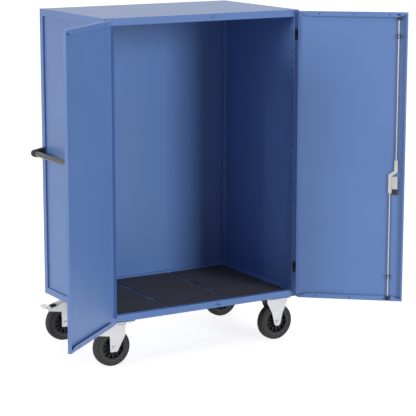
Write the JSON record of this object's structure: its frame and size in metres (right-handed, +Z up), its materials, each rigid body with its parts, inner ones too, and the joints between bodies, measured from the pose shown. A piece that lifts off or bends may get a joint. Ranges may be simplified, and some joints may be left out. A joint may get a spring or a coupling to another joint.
{
  "type": "cupboard trolley",
  "caption": "Tall sheet-steel cupboard trolley with overlay double doors, a bolt-rod lock, a ribbed floor mat, a side push handle, fixed castors and braked swivel castors.",
  "frame": {"origin": "on the floor, at the centre of the trolley's whole box as shown, with the doors open", "axes": "+Z up, -Y towards the doors, +X to the right seen from the doors, away from the push handle"},
  "size_m": [1.969, 1.1547, 1.7899],
  "materials": {
    "blue_paint": "satin powder coat",
    "black_paint": "satin",
    "grey_paint": "satin",
    "zinc": "bright zinc plate",
    "satin_steel": "satin",
    "black_plastic": "matt",
    "mat": "ribbed matt",
    "tyre": "matt",
    "wheel_centre": "matt"
  },
  "bodies": {
    "cabinet": {"back_panel": "blue_paint", "bottom_front_rail": "blue_paint", "bottom_rear_rail": "blue_paint", "bottom_side_rails": "blue_paint", "castor_bearers": "blue_paint", "castor_bolts": "zinc", "fixed_axles": "zinc", "fixed_forks": "zinc", "floor_mat": "mat", "floor_sheet": "blue_paint", "hinge_frame_leaves": "black_paint", "hinge_pins": "black_paint", "hinge_screws": "black_paint", "lock_keepers": "blue_paint", "post_front_left": "blue_paint", "post_front_right": "blue_paint", "post_rear_left": "blue_paint", "post_rear_right": "blue_paint", "push_handle_brackets": "black_plastic", "push_handle_screws": "zinc", "push_handle_tube": "satin_steel", "roof_sheet": "blue_paint", "side_panel_left": "blue_paint", "side_panel_right": "blue_paint", "swivel_top_plates": "zinc", "top_front_rail": "blue_paint", "top_rear_rail": "blue_paint", "top_side_rails": "blue_paint"},
    "door_left": {"door_left_pan": "blue_paint", "door_left_hinge_leaves": "black_paint"},
    "door_right": {"door_right_pan": "blue_paint", "door_right_hinge_leaves": "black_paint", "lock_case": "grey_paint", "lock_guide_block": "black_plastic", "rod_guides": "black_plastic", "guide_caps": "zinc", "keeper_trim": "black_plastic", "handle_escutcheon": "black_paint"},
    "lock_handle": {"turn_handle": "black_plastic", "lock_spindle": "zinc"},
    "lock_key": {"key_barrel": "zinc"},
    "lock_upper_rod": {"upper_rod": "zinc"},
    "lock_lower_rod": {"lower_rod": "zinc"},
    "castor_front_left": {"swivel_fork_front_left": "zinc", "kingpin_front_left": "zinc", "axle_front_left": "zinc"},
    "pedal_front_left": {"brake_pedal_front_left": "zinc"},
    "castor_rear_left": {"swivel_fork_rear_left": "zinc", "kingpin_rear_left": "zinc", "axle_rear_left": "zinc"},
    "pedal_rear_left": {"brake_pedal_rear_left": "zinc"},
    "wheel_front_left": {"tyre_front_left": "tyre", "rim_front_left": "wheel_centre"},
    "wheel_rear_left": {"tyre_rear_left": "tyre", "rim_rear_left": "wheel_centre"},
    "wheel_front_right": {"tyre_front_right": "tyre", "rim_front_right": "wheel_centre"},
    "wheel_rear_right": {"tyre_rear_right": "tyre", "rim_rear_right": "wheel_centre"}
  },
  "joints": [
    {"name": "door_left_hinge", "type": "hinge", "parent": "cabinet", "child": "door_left", "pos_m": [-0.562, -0.2007, 1.02], "axis": [0, 0, -1], "range_deg": [-140, 40]},
    {"name": "door_right_hinge", "type": "hinge", "parent": "cabinet", "child": "door_right", "pos_m": [0.562, -0.2007, 1.02], "axis": [0, 0, 1], "range_deg": [-140, 40]},
    {"name": "lock_handle_turn", "type": "hinge", "parent": "door_right", "child": "lock_handle", "pos_m": [0.94272, -0.52016, 0.892], "axis": [0.6428, 0.766, 0], "range_deg": [0, 90]},
    {"name": "lock_key_turn", "type": "hinge", "parent": "lock_handle", "child": "lock_key", "pos_m": [0.94272, -0.52016, 0.892], "axis": [0.6428, 0.766, 0], "range_deg": [0, 90]},
    {"name": "lock_upper_rod_slide", "type": "slide", "parent": "door_right", "child": "lock_upper_rod", "axis": [0, 0, 1], "range_m": [0, 0.0198]},
    {"name": "lock_lower_rod_slide", "type": "slide", "parent": "door_right", "child": "lock_lower_rod", "axis": [0, 0, -1], "range_m": [0, 0.0198]},
    {"name": "castor_front_left_swivel", "type": "hinge", "parent": "cabinet", "child": "castor_front_left", "pos_m": [-0.464, -0.0817, 0.225], "axis": [0, 0, 1], "continuous": true},
    {"name": "pedal_front_left_press", "type": "hinge", "parent": "castor_front_left", "child": "pedal_front_left", "pos_m": [-0.582, -0.0817, 0.184], "axis": [0, -1, 0], "range_deg": [0, 25]},
    {"name": "castor_rear_left_swivel", "type": "hinge", "parent": "cabinet", "child": "castor_rear_left", "pos_m": [-0.464, 0.4863, 0.225], "axis": [0, 0, 1], "continuous": true},
    {"name": "pedal_rear_left_press", "type": "hinge", "parent": "castor_rear_left", "child": "pedal_rear_left", "pos_m": [-0.582, 0.4863, 0.184], "axis": [0, -1, 0], "range_deg": [0, 25]},
    {"name": "wheel_front_left_spin", "type": "hinge", "parent": "castor_front_left", "child": "wheel_front_left", "pos_m": [-0.508, -0.0817, 0.1], "axis": [0, 1, 0], "continuous": true},
    {"name": "wheel_rear_left_spin", "type": "hinge", "parent": "castor_rear_left", "child": "wheel_rear_left", "pos_m": [-0.508, 0.4863, 0.1], "axis": [0, 1, 0], "continuous": true},
    {"name": "wheel_front_right_spin", "type": "hinge", "parent": "cabinet", "child": "wheel_front_right", "pos_m": [0.489, -0.0817, 0.1], "axis": [0, 1, 0], "continuous": true},
    {"name": "wheel_rear_right_spin", "type": "hinge", "parent": "cabinet", "child": "wheel_rear_right", "pos_m": [0.489, 0.4863, 0.1], "axis": [0, 1, 0], "continuous": true}
  ],
  "couplings": [
    {"joint": "lock_upper_rod_slide", "follows": "lock_handle_turn", "m_per_rad": 0.012605},
    {"joint": "lock_lower_rod_slide", "follows": "lock_handle_turn", "m_per_rad": 0.012605}
  ]
}
